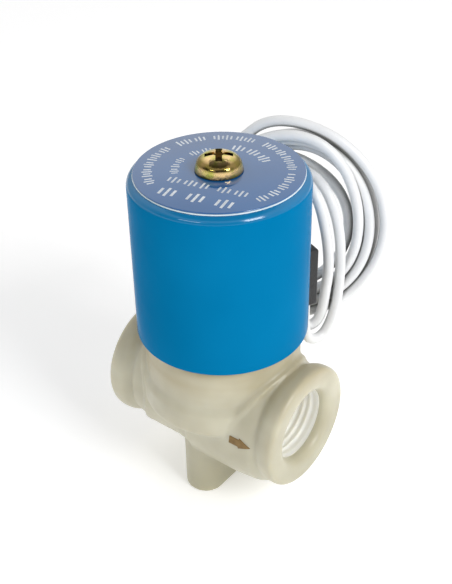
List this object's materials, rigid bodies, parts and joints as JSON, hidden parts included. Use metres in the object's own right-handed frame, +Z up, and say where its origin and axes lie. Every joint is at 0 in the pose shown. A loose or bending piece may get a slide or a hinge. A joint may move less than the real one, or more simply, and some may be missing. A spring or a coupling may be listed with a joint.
{
  "type": "solenoid valve",
  "caption": "Direct-acting water valve with a plastic two-port body, a screwed-on round blue coil and two white leads coiled behind it",
  "frame": {"origin": "middle of the underside of the foot", "axes": "+Z up along the coil and plunger axis, +X along the ports towards the outlet, +Y towards the coiled leads"},
  "size_m": [0.0423, 0.0509, 0.0685],
  "materials": {
    "body_plastic": "moulded, milky and slightly see-through",
    "arrow_print": "printed",
    "seal_rubber": "moulded",
    "bush_brass": "turned",
    "tube_steel": "drawn",
    "core_steel": "turned",
    "spring_steel": "drawn wire",
    "screw_zinc": "yellow passivated zinc",
    "plunger_steel": "ground",
    "cover_paint": "glossy blue",
    "label_film": "glossy blue film with plain marks",
    "plate_zinc": "zinc plated",
    "bobbin_plastic": "moulded",
    "winding_copper": "enamelled copper wire",
    "tape_film": "film tape",
    "fill_resin": "cast",
    "outlet_plastic": "moulded",
    "lead_insulation": "soft white insulation",
    "tip_tinned": "tinned copper strands",
    "tie_nylon": "moulded"
  },
  "bodies": {
    "valve": {"valve_body": "body_plastic", "flow_arrow": "arrow_print", "body_seal_ring": "seal_rubber", "guide_bush": "bush_brass", "guide_tube": "tube_steel", "fixed_core": "core_steel", "return_spring": "spring_steel", "retaining_screw": "screw_zinc"},
    "plunger_set": {"plunger": "plunger_steel", "plunger_seal": "seal_rubber"},
    "coil_unit": {"coil_cover": "cover_paint", "rating_label": "label_film", "bottom_plate": "plate_zinc", "bobbin": "bobbin_plastic", "winding": "winding_copper", "winding_tape": "tape_film", "fill_compound": "fill_resin", "lead_outlet": "outlet_plastic", "lead_a": "lead_insulation", "lead_b": "lead_insulation", "lead_ring": "lead_insulation", "lead_a_tail": "lead_insulation", "lead_b_tail": "lead_insulation", "lead_a_tip": "tip_tinned", "lead_b_tip": "tip_tinned", "lead_tie": "tie_nylon"}
  },
  "joints": [
    {"name": "plunger_travel", "type": "slide", "parent": "valve", "child": "plunger_set", "axis": [0, 0, 1], "range_m": [0, 0.0016], "stiffness_N_per_m": 200, "springref_m": -0.004, "deforming": ["return_spring"]},
    {"name": "coil_swivel", "type": "hinge", "parent": "valve", "child": "coil_unit", "pos_m": [0, 0, 0.05], "axis": [0, 0, 1], "range_deg": [-25, 25]}
  ]
}
